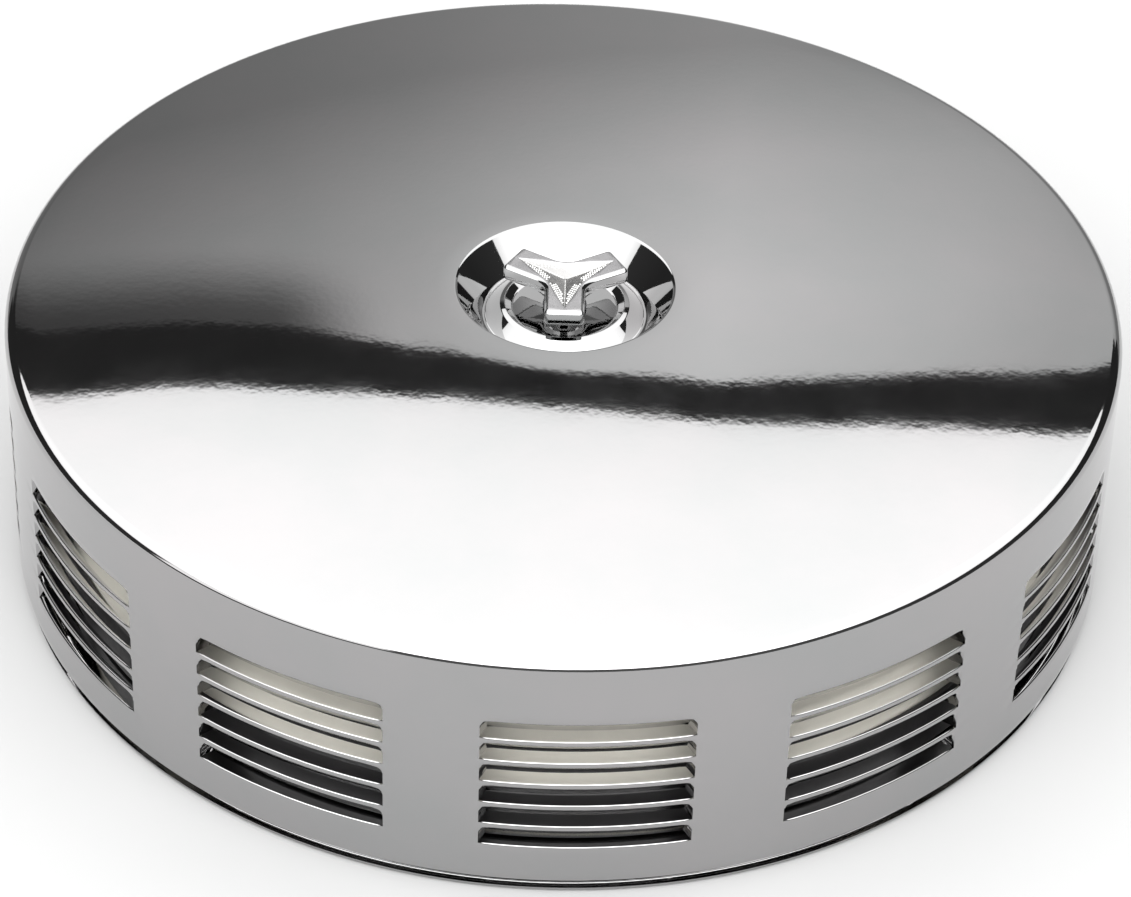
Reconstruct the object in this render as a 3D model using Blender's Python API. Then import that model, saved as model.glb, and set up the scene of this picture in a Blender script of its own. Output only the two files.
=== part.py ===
"""Round louvred air filter housing: drawn cover, base plate, filter element, stud and three-bar wing nut.

Run with: blender --background --python part.py
Units are metres. +Z is up and is the housing's axis. The origin is the centre of the rim it stands on.
"""
import math

import bmesh
import bpy
from mathutils import Matrix, Vector

# ---- Driving dimensions ---------------------------------------------------------------------

INCH = 0.0254
GAP = 0.0003                      # air left between neighbouring pieces
SHEET = 0.0009                    # drawn sheet steel

LID_RADIUS = 7.0 * INCH           # a 14 inch cover
LID_EDGE_Z = 0.0905               # level where the lid turns down into the wall
LID_CROWN = 0.0055                # how far the lid rises towards its dish
CORNER_RADIUS = 0.0037

DISH_RADIUS = 0.0353
DISH_DEPTH = 0.0108
DISH_SLOPE = 52.0                 # degrees, of the dish's wall
DISH_ROUND = 0.0012               # radius of the shoulder between the wall and the lid
DISH_LIP = 0.0020                 # flat land round the dish
CUP_DEPTH = 0.0083                # the nut's seat, sunk in the raised centre
PEDESTAL = (                      # radius and depth, from the cup's flat out to the foot
    (0.0170, CUP_DEPTH),
    (0.0187, 0.0067),
    (0.0195, 0.0063),
    (0.0209, 0.0071),
    (0.0256, DISH_DEPTH),
)

LOUVRE_GROUPS = 12
LOUVRES_PER_GROUP = 6
LOUVRE_PHASE = math.radians(3.6)  # the cover as it is fitted, turned about the stud
LOUVRE_HALF_ANGLE = math.radians(10.3)
LOUVRE_END_ANGLE = math.radians(1.4)
LOUVRE_PITCH = 0.0084
LOUVRE_HEIGHT = 0.0070
LOUVRE_PRESS = 0.0050             # how far each louvre's lower edge is pressed inwards
LOUVRE_SLOT = 0.0004
LOWEST_LOUVRE_Z = 0.0190

RIM_RADIUS = LID_RADIUS - 0.0011
RIM_HEIGHT = 0.0018
RIM_BEND = 0.0006
COVER_FOOT_Z = 0.0055             # the cover's wall ends above the rim
SKIRT_RADIUS = 0.1735             # middle of the sheet, inside the cover's wall
SKIRT_BEND = 0.0015
SEAT_Z = 0.0094
SEAT_RADIUS = 0.1220
SEAT_SLOPE = 0.0040               # width of the slope up to the filter's seat
FLOOR_Z = 0.0064
NECK_RADIUS = 0.5 * 5.125 * INCH  # the usual 5-1/8 inch carburettor neck
NECK_FOOT_Z = 0.0012
NECK_BEND = 0.0015
BEAD_INNER = 0.0930               # a stiffening bead pressed up in the floor
BEAD_OUTER = 0.1070
BEAD_SLOPE = 0.0025

GASKET_WIDTH = 0.0090
GASKET_THICKNESS = 0.0030

FILTER_OUTER_RADIUS = 0.1650
FILTER_INNER_RADIUS = 0.1350
SEAL_LIP = 0.0017
SEAL_FLOOR = 0.0045
SEAL_LIP_HEIGHT = 0.0040
SEAL_COLLAR_HEIGHT = 0.0140       # the bottom seal's outer lip, a tall dark collar
SCREEN_THICKNESS = 0.0008
LAYER_GAP = 0.0006                # air between the element's layers

STUD_RADIUS = 0.125 * INCH        # 1/4-20 thread
STUD_CHAMFER = 0.0008
STUD_TAIL = 0.0010                # the stud below its lower nut
THREAD_GAP = 0.0004               # from the stud to the bore of each piece on it
STUD_HOLE_CLEARANCE = 0.0009
BRIDGE_HALF_LENGTH = 0.0910
BRIDGE_WIDTH = 0.0180
BRIDGE_THICKNESS = 0.0025
RIVET_X = 0.0830
RIVET_RADIUS = 0.0024
RIVET_FOOT = 0.0012               # thickness of its flat head
RIVET_SHOULDER = 0.0014
RIVET_DOME = 0.0020
HEX_NUT_RADIUS = 0.0064           # across corners, for a 7/16 inch hexagon
HEX_NUT_HEIGHT = 0.0055
LOWER_NUT_HEIGHT = 0.0030
LOCK_WASHER_RADIUS = 0.0060
LOCK_WASHER_THICKNESS = 0.0016

NUT_ARM_LENGTH = 0.0199
NUT_ARM_WIDTH = 0.0127
NUT_ARM_CORNER = (0.0020, 0.0012) # cut from each corner, along and across the arm
NUT_ARM_THICKNESS = 0.0055
NUT_FILLET = 0.0070
NUT_RISE = 0.0040                 # its top face above the lid
NUT_EDGE = 0.0010
NUT_HUB_RADIUS = 0.0068
NUT_HUB_FOOT = (0.0010, 0.0020)   # chamfer at the hub's foot
NUT_HUB_ROOT = 0.0020             # the hub's top, below the arms' face
INSERT_DEPTH = 0.0030             # the insert's top, below the arms' face
INSERT_RADIUS = 0.0046
STUD_SHORTFALL = 0.0010           # the stud's end, below the insert's top
WASHER_RADIUS = 0.0070
WASHER_THICKNESS = 0.0015

ROUND_SEGMENTS = 48
SMALL_SEGMENTS = 24
CUT_MARGIN = 0.0020               # how far a cutter runs past what it cuts

# ---- Levels worked out from the driving dimensions ------------------------------------------

DISH_RIM_Z = LID_EDGE_Z + LID_CROWN
CUP_Z = DISH_RIM_Z - CUP_DEPTH
CORNER_START = LID_RADIUS - CORNER_RADIUS
DISH_LIP_RADIUS = DISH_RADIUS + DISH_LIP
STUD_HOLE_RADIUS = STUD_RADIUS + STUD_HOLE_CLEARANCE

FLOOR_UNDERSIDE = FLOOR_Z - SHEET / 2
FLOOR_TOP = FLOOR_Z + SHEET / 2
SEAT_TOP = SEAT_Z + SHEET / 2
BRIDGE_Z = FLOOR_TOP + GAP
BRIDGE_TOP = BRIDGE_Z + BRIDGE_THICKNESS

FILTER_FOOT_Z = SEAT_TOP + GAP
MEDIA_FOOT_Z = FILTER_FOOT_Z + SEAL_FLOOR + GAP
SEAL_GROOVE_OUTER = FILTER_OUTER_RADIUS - SEAL_LIP
SEAL_GROOVE_INNER = FILTER_INNER_RADIUS + SEAL_LIP

WASHER_Z = CUP_Z + GAP
HUB_FOOT_Z = WASHER_Z + WASHER_THICKNESS + GAP
NUT_TOP_Z = DISH_RIM_Z + NUT_RISE
INSERT_TOP_Z = NUT_TOP_Z - INSERT_DEPTH
STUD_TOP_Z = INSERT_TOP_Z - STUD_SHORTFALL
STUD_BORE_RADIUS = STUD_RADIUS + THREAD_GAP


# ---- Helpers --------------------------------------------------------------------------------

def material(name, colour, roughness, metallic):
    """A plain Principled material with one colour."""
    made = bpy.data.materials.new(name)
    made.use_nodes = True
    shader = made.node_tree.nodes["Principled BSDF"]
    shader.inputs["Base Color"].default_value = (*colour, 1.0)
    shader.inputs["Roughness"].default_value = roughness
    shader.inputs["Metallic"].default_value = metallic
    return made


def add_object(name, bm, finish, parent=None):
    """Puts a bmesh in the scene as one named object, in place of its parent's frame."""
    bmesh.ops.recalc_face_normals(bm, faces=bm.faces)
    mesh = bpy.data.meshes.new(name)
    bm.to_mesh(mesh)
    bm.free()
    mesh.materials.append(finish)
    mesh.shade_smooth()
    mesh.set_sharp_from_angle(angle=math.radians(35))
    made = bpy.data.objects.new(name, mesh)
    bpy.context.collection.objects.link(made)
    made.parent = parent
    return made


def turned(outline, segments):
    """Turns an outline of (radius, z) points about the Z axis.

    An outline whose points all stand off the axis closes on itself and makes a ring.
    An outline that starts and ends on the axis makes a solid.
    """
    bm = bmesh.new()
    on_axis = [radius == 0.0 for radius, _ in outline]
    rings = []
    for radius, z in outline:
        if radius == 0.0:
            rings.append([bm.verts.new((0.0, 0.0, z))] * segments)
            continue
        ring = []
        for step in range(segments):
            turn = 2.0 * math.pi * step / segments
            ring.append(bm.verts.new((radius * math.cos(turn), radius * math.sin(turn), z)))
        rings.append(ring)
    pairs = list(zip(rings, rings[1:]))
    if not any(on_axis):
        pairs.append((rings[-1], rings[0]))
    for first, second in pairs:
        for step in range(segments):
            after = (step + 1) % segments
            corners = [first[step], first[after], second[after], second[step]]
            face = list(dict.fromkeys(corners))
            if len(face) > 2:
                bm.faces.new(face)
    return bm


def ring_outline(inner, outer, low, high):
    """A rectangular section for a flat ring."""
    return [(inner, low), (outer, low), (outer, high), (inner, high)]


def sheet_outline(path, thickness):
    """The closed section of a sheet whose middle follows a path of (radius, z) points."""
    left = []
    right = []
    for index, (radius, z) in enumerate(path):
        before = path[max(index - 1, 0)]
        after = path[min(index + 1, len(path) - 1)]
        first = math.atan2(z - before[1], radius - before[0])
        second = math.atan2(after[1] - z, after[0] - radius)
        if index == 0:
            first = second
        if index == len(path) - 1:
            second = first
        bend = math.remainder(second - first, 2.0 * math.pi) / 2.0
        normal = first + bend + math.pi / 2.0
        reach = thickness / 2.0 / math.cos(bend)
        left.append((radius + reach * math.cos(normal), z + reach * math.sin(normal)))
        right.append((radius - reach * math.cos(normal), z - reach * math.sin(normal)))
    return left + right[::-1]


def arc(centre, radius, start, end, steps):
    """Points along an arc, angles in degrees from the +radius direction."""
    points = []
    for step in range(steps + 1):
        angle = math.radians(start + (end - start) * step / steps)
        points.append((centre[0] + radius * math.cos(angle), centre[1] + radius * math.sin(angle)))
    return points


def crown_z(radius):
    """Height of the lid's outer face between the dish and the corner."""
    fall = (radius ** 2 - DISH_LIP_RADIUS ** 2) / (CORNER_START ** 2 - DISH_LIP_RADIUS ** 2)
    return LID_EDGE_Z + LID_CROWN * (1.0 - fall)


def prism(outline, low, high):
    """Extrudes a closed plan outline of (x, y) points from one level to another."""
    bm = bmesh.new()
    face = bm.faces.new([bm.verts.new((x, y, low)) for x, y in outline])
    bmesh.ops.recalc_face_normals(bm, faces=[face])
    grown = bmesh.ops.extrude_face_region(bm, geom=[face])
    top = [item for item in grown["geom"] if isinstance(item, bmesh.types.BMVert)]
    bmesh.ops.translate(bm, verts=top, vec=(0.0, 0.0, high - low))
    return bm


def circle(radius, segments, x=0.0):
    """Plan points of a circle whose centre is on the X axis."""
    turns = [2.0 * math.pi * (step + 0.5) / segments for step in range(segments)]
    return [(x + radius * math.cos(turn), radius * math.sin(turn)) for turn in turns]


def cutter(name, bm):
    """A hidden object that a Boolean modifier uses."""
    made = add_object(name, bm, FINISH["cutter"])
    made.hide_render = True
    made.display_type = "WIRE"
    return made


def boolean(target, tool, operation):
    """Cuts or joins with Blender's exact solver."""
    modifier = target.modifiers.new(tool.name, "BOOLEAN")
    modifier.object = tool
    modifier.operation = operation
    modifier.solver = "EXACT"


# ---- Cover ----------------------------------------------------------------------------------

def cover_columns():
    """Angle of each column of the cover's wall, and how much it is pressed in, from 0 to 1."""
    half = LOUVRE_HALF_ANGLE
    full = half - LOUVRE_END_ANGLE
    columns = []
    for group in range(LOUVRE_GROUPS):
        centre = LOUVRE_PHASE - math.pi / 2.0 + 2.0 * math.pi * group / LOUVRE_GROUPS
        columns.append((centre - half, 0.0))
        columns.append((centre - full, 1.0))
        columns.append((centre - LOUVRE_PHASE, 1.0))     # on the axes, for a true overall width
        columns.append((centre + full, 1.0))
        columns.append((centre + half, 0.0))
    return columns


def dish_profile():
    """Outer face of the dish, from the stud's hole to the lid."""
    pedestal = [(radius, DISH_RIM_Z - depth) for radius, depth in PEDESTAL]
    shoulder = arc((DISH_RADIUS, DISH_RIM_Z - DISH_ROUND), DISH_ROUND, 90.0 + DISH_SLOPE, 90.0, 3)
    wall_radius, wall_z = shoulder[0]
    floor_z = DISH_RIM_Z - DISH_DEPTH
    foot = (wall_radius - (wall_z - floor_z) / math.tan(math.radians(DISH_SLOPE)), floor_z)
    return [(STUD_HOLE_RADIUS, CUP_Z), *pedestal, foot, *shoulder, (DISH_LIP_RADIUS, DISH_RIM_Z)]


def lid_profile():
    """Outer face of the lid, from the dish to the top of the wall."""
    profile = []
    for share in (0.2, 0.5, 0.8):
        radius = DISH_LIP_RADIUS + share * (CORNER_START - DISH_LIP_RADIUS)
        profile.append((radius, crown_z(radius)))
    corner = (CORNER_START, LID_EDGE_Z - CORNER_RADIUS)
    profile.extend(arc(corner, CORNER_RADIUS, 90.0, 0.0, 3))
    return profile


def wall_rows():
    """Levels down the wall as (z, press, slot above it), with each louvre's root, edge and lip."""
    rows = []
    for index in reversed(range(LOUVRES_PER_GROUP)):
        lip = LOWEST_LOUVRE_Z + index * LOUVRE_PITCH
        rows.append((lip + LOUVRE_HEIGHT, 0.0, False))
        rows.append((lip + LOUVRE_SLOT, LOUVRE_PRESS, False))
        rows.append((lip, 0.0, True))
    rows.append((COVER_FOOT_Z, 0.0, False))
    return rows


def cover_mesh():
    """The cover's outer skin: a coarse dish, a lid, and a wall whose slots are left open."""
    columns = cover_columns()
    count = len(columns)
    bm = bmesh.new()

    def ring(radius, z, chosen):
        angles = [columns[index][0] for index in chosen]
        return [bm.verts.new((radius * math.cos(a), radius * math.sin(a), z)) for a in angles]

    def join(upper, lower):
        for index in range(len(upper)):
            after = (index + 1) % len(upper)
            bm.faces.new((upper[index], lower[index], lower[after], upper[after]))

    coarse = list(range(0, count, 3))
    dish = [ring(radius, z, coarse) for radius, z in dish_profile()]
    for inner, outer in zip(dish, dish[1:]):
        join(inner, outer)

    rings = [ring(radius, z, range(count)) for radius, z in lid_profile()]
    for index in range(len(coarse)):
        after = (index + 1) % len(coarse)
        near = [rings[0][(3 * index + step) % count] for step in range(4)]
        bm.faces.new([dish[-1][index], *near, dish[-1][after]])

    for z, press, below_slot in wall_rows():
        above = rings[-1]
        row = []
        for index, (angle, share) in enumerate(columns):
            if below_slot and share == 0.0:
                row.append(above[index])
                continue
            radius = LID_RADIUS - press * share
            level = z
            if press and share == 0.0:
                level = z - LOUVRE_SLOT
            row.append(bm.verts.new((radius * math.cos(angle), radius * math.sin(angle), level)))
        rings.append(row)

    for upper, lower in zip(rings, rings[1:]):
        if any(one is other for one, other in zip(upper, lower)):
            continue
        join(upper, lower)
    return bm


def make_cover(parent):
    """Top cover: crowned lid, recessed dish and louvred wall, drawn in one sheet."""
    cover = add_object("top_cover", cover_mesh(), FINISH["chrome"], parent)
    solidify = cover.modifiers.new("sheet", "SOLIDIFY")
    solidify.thickness = SHEET
    solidify.offset = -1.0
    return cover


# ---- Base -----------------------------------------------------------------------------------

def base_path():
    """Middle of the base plate's sheet, from the neck's foot out to the rolled rim."""
    half = SHEET / 2.0
    neck = NECK_RADIUS + half
    rim = RIM_RADIUS - half
    return [
        (neck, NECK_FOOT_Z),
        (neck, FLOOR_Z - NECK_BEND),
        (neck + NECK_BEND, FLOOR_Z),
        (BEAD_INNER, FLOOR_Z),
        (BEAD_INNER + BEAD_SLOPE, FLOOR_Z + BEAD_SLOPE),
        (BEAD_OUTER - BEAD_SLOPE, FLOOR_Z + BEAD_SLOPE),
        (BEAD_OUTER, FLOOR_Z),
        (SEAT_RADIUS - SEAT_SLOPE, FLOOR_Z),
        (SEAT_RADIUS, SEAT_Z),
        (SKIRT_RADIUS - SKIRT_BEND, SEAT_Z),
        (SKIRT_RADIUS, SEAT_Z - SKIRT_BEND),
        (SKIRT_RADIUS, half + RIM_BEND),
        (SKIRT_RADIUS + RIM_BEND, half),
        (rim - RIM_BEND, half),
        (rim, half + RIM_BEND),
        (rim, RIM_HEIGHT - half / 2.0),
    ]


def make_base(root):
    """Base plate with its neck, filter seat, skirt and rolled rim."""
    section = sheet_outline(base_path(), SHEET)
    base = add_object("base_plate", turned(section, ROUND_SEGMENTS), FINISH["chrome"], root)
    for side in (-1, 1):
        hole = prism(circle(RIVET_RADIUS + GAP, 12, side * RIVET_X), 0.0, SEAT_Z)
        boolean(base, cutter("rivet_hole_cutter", hole), "DIFFERENCE")

    inner = NECK_RADIUS + SHEET + NECK_BEND + GAP
    top = FLOOR_UNDERSIDE - GAP
    gasket = ring_outline(inner, inner + GASKET_WIDTH, top - GASKET_THICKNESS, top)
    add_object("carb_gasket", turned(gasket, ROUND_SEGMENTS), FINISH["rubber"], root)


def make_bridge(root):
    """Bar across the neck that holds the stud, and the two rivets that hold the bar."""
    half = BRIDGE_WIDTH / 2.0
    straight = BRIDGE_HALF_LENGTH - half
    outline = arc((straight, 0.0), half, -90.0, 90.0, 6) + arc((-straight, 0.0), half, 90.0, 270.0, 6)
    bar = add_object("stud_bridge", prism(outline, BRIDGE_Z, BRIDGE_TOP), FINISH["zinc"], root)
    holes = {"bridge_hole_left": -RIVET_X, "bridge_hole_stud": 0.0, "bridge_hole_right": RIVET_X}
    for name, x in holes.items():
        radius = RIVET_RADIUS if x else STUD_RADIUS
        hole = prism(circle(radius + 2.0 * GAP, 12, x), BRIDGE_Z - CUT_MARGIN, BRIDGE_TOP + CUT_MARGIN)
        boolean(bar, cutter(name, hole), "DIFFERENCE")

    for name, side in (("bridge_rivet_left", -1), ("bridge_rivet_right", 1)):
        add_object(name, rivet_mesh(), FINISH["zinc"], root).location.x = side * RIVET_X


def rivet_mesh():
    """A rivet with a domed head above the bar and a flat one under the floor."""
    head = 2.0 * RIVET_RADIUS
    over = BRIDGE_TOP + GAP
    under = FLOOR_UNDERSIDE - GAP
    outline = [
        (0.0, under - RIVET_FOOT),
        (head, under - RIVET_FOOT),
        (head, under),
        (RIVET_RADIUS, under),
        (RIVET_RADIUS, over),
        (head, over),
        (0.8 * head, over + RIVET_SHOULDER),
        (0.0, over + RIVET_DOME),
    ]
    return turned(outline, 12)


def hex_nut(name, low, height, root):
    """A hexagon nut about the stud, with chamfered corners."""
    bm = prism(circle(HEX_NUT_RADIUS, 6), low, low + height)
    nut = add_object(name, bm, FINISH["zinc"], root)
    bore = prism(circle(STUD_BORE_RADIUS, SMALL_SEGMENTS), low - CUT_MARGIN, low + height + CUT_MARGIN)
    boolean(nut, cutter(name + "_bore", bore), "DIFFERENCE")


def make_stud(root):
    """Centre stud with its nuts and lock washer on the bridge."""
    foot = FLOOR_UNDERSIDE - LOWER_NUT_HEIGHT - STUD_TAIL
    outline = [
        (0.0, foot),
        (STUD_RADIUS - STUD_CHAMFER, foot),
        (STUD_RADIUS, foot + STUD_CHAMFER),
        (STUD_RADIUS, STUD_TOP_Z - STUD_CHAMFER),
        (STUD_RADIUS - STUD_CHAMFER, STUD_TOP_Z),
        (0.0, STUD_TOP_Z),
    ]
    add_object("center_stud", turned(outline, 16), FINISH["zinc"], root)

    washer_low = BRIDGE_TOP + GAP
    washer_high = washer_low + LOCK_WASHER_THICKNESS
    washer = ring_outline(STUD_BORE_RADIUS, LOCK_WASHER_RADIUS, washer_low, washer_high)
    add_object("bridge_lock_washer", turned(washer, SMALL_SEGMENTS), FINISH["zinc"], root)
    hex_nut("bridge_lock_nut", washer_high + GAP, HEX_NUT_HEIGHT, root)
    hex_nut("bridge_lower_nut", BRIDGE_Z - GAP - LOWER_NUT_HEIGHT, LOWER_NUT_HEIGHT, root)


# ---- Filter element -------------------------------------------------------------------------

def make_filter(parent):
    """Round filter element: two moulded end seals, pleated media, inner screen and outer wrap."""
    inner = FILTER_INNER_RADIUS
    outer = FILTER_OUTER_RADIUS
    groove_in = SEAL_GROOVE_INNER
    groove_out = SEAL_GROOVE_OUTER
    floor_z = FILTER_FOOT_Z + SEAL_FLOOR
    lip_z = floor_z + SEAL_LIP_HEIGHT
    bottom = [
        (inner, FILTER_FOOT_Z),
        (outer, FILTER_FOOT_Z),
        (outer, floor_z + SEAL_COLLAR_HEIGHT),
        (groove_out, floor_z + SEAL_COLLAR_HEIGHT),
        (groove_out, floor_z),
        (groove_in, floor_z),
        (groove_in, lip_z),
        (inner, lip_z),
    ]
    add_object("filter_bottom_seal", turned(bottom, ROUND_SEGMENTS), FINISH["seal"], parent)

    clearance = SHEET + 2.0 * GAP
    edge_z = crown_z(outer) - clearance
    ceiling = edge_z - SEAL_FLOOR
    top = [
        (inner, crown_z(inner) - clearance),
        (inner, ceiling - SEAL_LIP_HEIGHT),
        (groove_in, ceiling - SEAL_LIP_HEIGHT),
        (groove_in, ceiling),
        (groove_out, ceiling),
        (groove_out, ceiling - SEAL_LIP_HEIGHT),
        (outer, ceiling - SEAL_LIP_HEIGHT),
        (outer, edge_z),
    ]
    add_object("filter_top_seal", turned(top, ROUND_SEGMENTS), FINISH["seal"], parent)

    low = MEDIA_FOOT_Z
    high = ceiling - GAP
    screen_in = groove_in + LAYER_GAP
    screen_out = screen_in + SCREEN_THICKNESS
    wrap_out = groove_out - LAYER_GAP
    wrap_in = wrap_out - SCREEN_THICKNESS
    layers = {
        "filter_inner_screen": (screen_in, screen_out, "zinc"),
        "filter_media": (screen_out + LAYER_GAP, wrap_in - LAYER_GAP, "paper"),
        "filter_outer_wrap": (wrap_in, wrap_out, "wrap"),
    }
    for name, (near, far, finish) in layers.items():
        section = ring_outline(near, far, low, high)
        add_object(name, turned(section, ROUND_SEGMENTS), FINISH[finish], parent)


# ---- Wing nut -------------------------------------------------------------------------------

def nut_plan():
    """Plan outline of the three-bar nut: three arms with round inner corners between them."""
    half = NUT_ARM_WIDTH / 2.0
    corner = half / math.tan(math.radians(60.0))
    start = corner + NUT_FILLET / math.tan(math.radians(60.0))
    along, across = NUT_ARM_CORNER
    tip = [(start, half), (NUT_ARM_LENGTH - along, half), (NUT_ARM_LENGTH, half - across)]
    fillet = arc((start, half + NUT_FILLET), NUT_FILLET, 270.0, 210.0, 4)
    arm = [(x, -y) for x, y in tip] + tip[::-1] + fillet[1:-1]

    outline = []
    for index in range(3):
        turn = Matrix.Rotation(math.radians(120.0 * index - 90.0), 2)
        outline.extend(tuple(turn @ Vector(point)) for point in arm)
    return outline


def make_wing_nut(nut_parent, washer_parent):
    """Three-bar wing nut with its threaded insert, and the sealing washer under its hub."""
    nut = add_object("wing_nut", prism(nut_plan(), NUT_TOP_Z - NUT_ARM_THICKNESS, NUT_TOP_Z),
                     FINISH["chrome"], nut_parent)
    edge = nut.modifiers.new("edge", "BEVEL")
    edge.width = NUT_EDGE
    edge.segments = 1
    edge.limit_method = "ANGLE"
    edge.angle_limit = math.radians(60.0)

    inset, rise = NUT_HUB_FOOT
    hub_top = NUT_TOP_Z - NUT_HUB_ROOT
    hub = [
        (0.0, HUB_FOOT_Z),
        (NUT_HUB_RADIUS - inset, HUB_FOOT_Z),
        (NUT_HUB_RADIUS, HUB_FOOT_Z + rise),
        (NUT_HUB_RADIUS, hub_top),
        (0.0, hub_top),
    ]
    boolean(nut, cutter("nut_hub_shape", turned(hub, SMALL_SEGMENTS)), "UNION")
    bore = prism(circle(INSERT_RADIUS + THREAD_GAP, 16), HUB_FOOT_Z - CUT_MARGIN, INSERT_TOP_Z + GAP)
    boolean(nut, cutter("nut_bore_shape", bore), "DIFFERENCE")

    insert = ring_outline(STUD_BORE_RADIUS, INSERT_RADIUS, HUB_FOOT_Z, INSERT_TOP_Z)
    add_object("wing_nut_insert", turned(insert, 16), FINISH["brass"], nut_parent)

    washer = ring_outline(STUD_BORE_RADIUS, WASHER_RADIUS, WASHER_Z, WASHER_Z + WASHER_THICKNESS)
    add_object("sealing_washer", turned(washer, SMALL_SEGMENTS), FINISH["rubber"], washer_parent)


# ---- Assembly -------------------------------------------------------------------------------

def empty(name):
    """A frame on the housing's axis for the pieces that move together."""
    made = bpy.data.objects.new(name, None)
    bpy.context.collection.objects.link(made)
    return made


for old in list(bpy.data.objects):
    bpy.data.objects.remove(old)

FINISH = {
    "chrome": material("chrome", (0.80, 0.80, 0.81), 0.06, 1.0),
    "zinc": material("zinc", (0.62, 0.62, 0.60), 0.35, 1.0),
    "brass": material("brass", (0.72, 0.55, 0.26), 0.30, 1.0),
    "rubber": material("rubber", (0.03, 0.03, 0.03), 0.75, 0.0),
    "seal": material("seal", (0.035, 0.035, 0.037), 0.55, 0.0),
    "paper": material("paper", (0.82, 0.77, 0.62), 0.90, 0.0),
    "wrap": material("wrap", (0.86, 0.83, 0.74), 0.95, 0.0),
    "cutter": material("cutter", (0.50, 0.50, 0.50), 0.50, 0.0),
}

root_frame = empty("root_frame")
filter_frame = empty("filter_frame")
cover_frame = empty("cover_frame")
washer_frame = empty("washer_frame")
nut_frame = empty("nut_frame")

make_base(root_frame)
make_bridge(root_frame)
make_stud(root_frame)
make_filter(filter_frame)
make_cover(cover_frame)
make_wing_nut(nut_frame, washer_frame)
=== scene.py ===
"""Visual model of a round louvred chrome air filter housing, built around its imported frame.

Units are metres. +Z is up and is the housing's axis; -Y is the side the camera looks at.
"""

import math

import bmesh
import bpy
from mathutils import Matrix, Vector


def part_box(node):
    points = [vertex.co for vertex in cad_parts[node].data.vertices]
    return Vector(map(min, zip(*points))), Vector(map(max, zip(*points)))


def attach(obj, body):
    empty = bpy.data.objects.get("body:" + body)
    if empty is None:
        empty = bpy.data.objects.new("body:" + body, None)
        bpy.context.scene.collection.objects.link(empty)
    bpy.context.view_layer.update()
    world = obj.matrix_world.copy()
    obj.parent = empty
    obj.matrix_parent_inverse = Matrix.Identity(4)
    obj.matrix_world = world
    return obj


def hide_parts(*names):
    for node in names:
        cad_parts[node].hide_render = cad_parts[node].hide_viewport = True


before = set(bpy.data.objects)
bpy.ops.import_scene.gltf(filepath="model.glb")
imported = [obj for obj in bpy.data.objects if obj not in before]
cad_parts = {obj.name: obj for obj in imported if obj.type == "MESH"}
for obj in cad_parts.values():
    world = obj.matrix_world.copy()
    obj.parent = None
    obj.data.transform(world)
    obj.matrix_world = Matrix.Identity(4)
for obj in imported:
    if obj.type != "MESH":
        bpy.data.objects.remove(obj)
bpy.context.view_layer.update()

# ---- Sizes of the housing, in metres --------------------------------------------------------

MM = 0.001
INCH = 0.0254
SHEET = 0.9 * MM

cover_low, cover_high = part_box("top_cover")
nut_low, nut_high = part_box("wing_nut")
base_low, base_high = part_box("base_plate")
gasket_low, gasket_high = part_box("carb_gasket")
bridge_low, bridge_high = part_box("stud_bridge")

LID_RADIUS = 7.0 * INCH
LID_CROWN = 5.5 * MM
CORNER_RADIUS = 3.7 * MM
DISH_RIM_Z = cover_high.z
LID_EDGE_Z = DISH_RIM_Z - LID_CROWN
CORNER_START = LID_RADIUS - CORNER_RADIUS

DISH_RADIUS = 35.3 * MM
DISH_DEPTH = 10.8 * MM
DISH_SLOPE = math.radians(52.0)
DISH_ROUND = 1.2 * MM
DISH_CORNER_RADIUS = DISH_RADIUS - DISH_ROUND * math.tan(DISH_SLOPE / 2.0)
DISH_FOOT_RADIUS = DISH_CORNER_RADIUS - DISH_DEPTH / math.tan(DISH_SLOPE)
DISH_LIP_RADIUS = DISH_RADIUS + 2.0 * MM
DISH_FLOOR_Z = DISH_RIM_Z - DISH_DEPTH
PEDESTAL_RIM_RADIUS = 19.5 * MM
PEDESTAL_FOOT_RADIUS = 25.6 * MM
PEDESTAL_RIM_Z = DISH_RIM_Z - 6.3 * MM
CUP_Z = DISH_RIM_Z - 8.3 * MM

RIVET_RADIUS = 4.8 * MM

LOUVRE_GROUPS = 12
LOUVRES_PER_GROUP = 6
LOUVRE_PHASE = math.radians(3.6)
LOUVRE_HALF_ANGLE = math.radians(10.3)
LOUVRE_PITCH = 8.4 * MM
LOUVRE_HEIGHT = 7.0 * MM
LOUVRE_PRESS = 5.0 * MM
LOUVRE_SLOT = 0.4 * MM
LOUVRE_BEND = 2.0 * MM
LOUVRE_CORNER = 3.2 * MM
LOWEST_LOUVRE_Z = 19.0 * MM

STUD_RADIUS = 0.125 * INCH
THREAD_PITCH = INCH / 20.0

NUT_ARM_LENGTH = 19.9 * MM
NUT_ARM_WIDTH = 12.7 * MM
NUT_ARM_THICKNESS = 5.5 * MM
NUT_FILLET = 7.0 * MM
NUT_EDGE = 1.0 * MM
NUT_HUB_RADIUS = 6.8 * MM
NUT_BORE_RADIUS = 5.0 * MM
NUT_STAR_TIP = 17.3 * MM
NUT_STAR_WAIST = 6.4 * MM
NUT_STAR_EDGE = 0.25 * MM
NUT_STAR_DEPTH = 1.5 * MM

ROUND_SEGMENTS = 240


# ---- Mesh helpers ---------------------------------------------------------------------------

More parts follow.
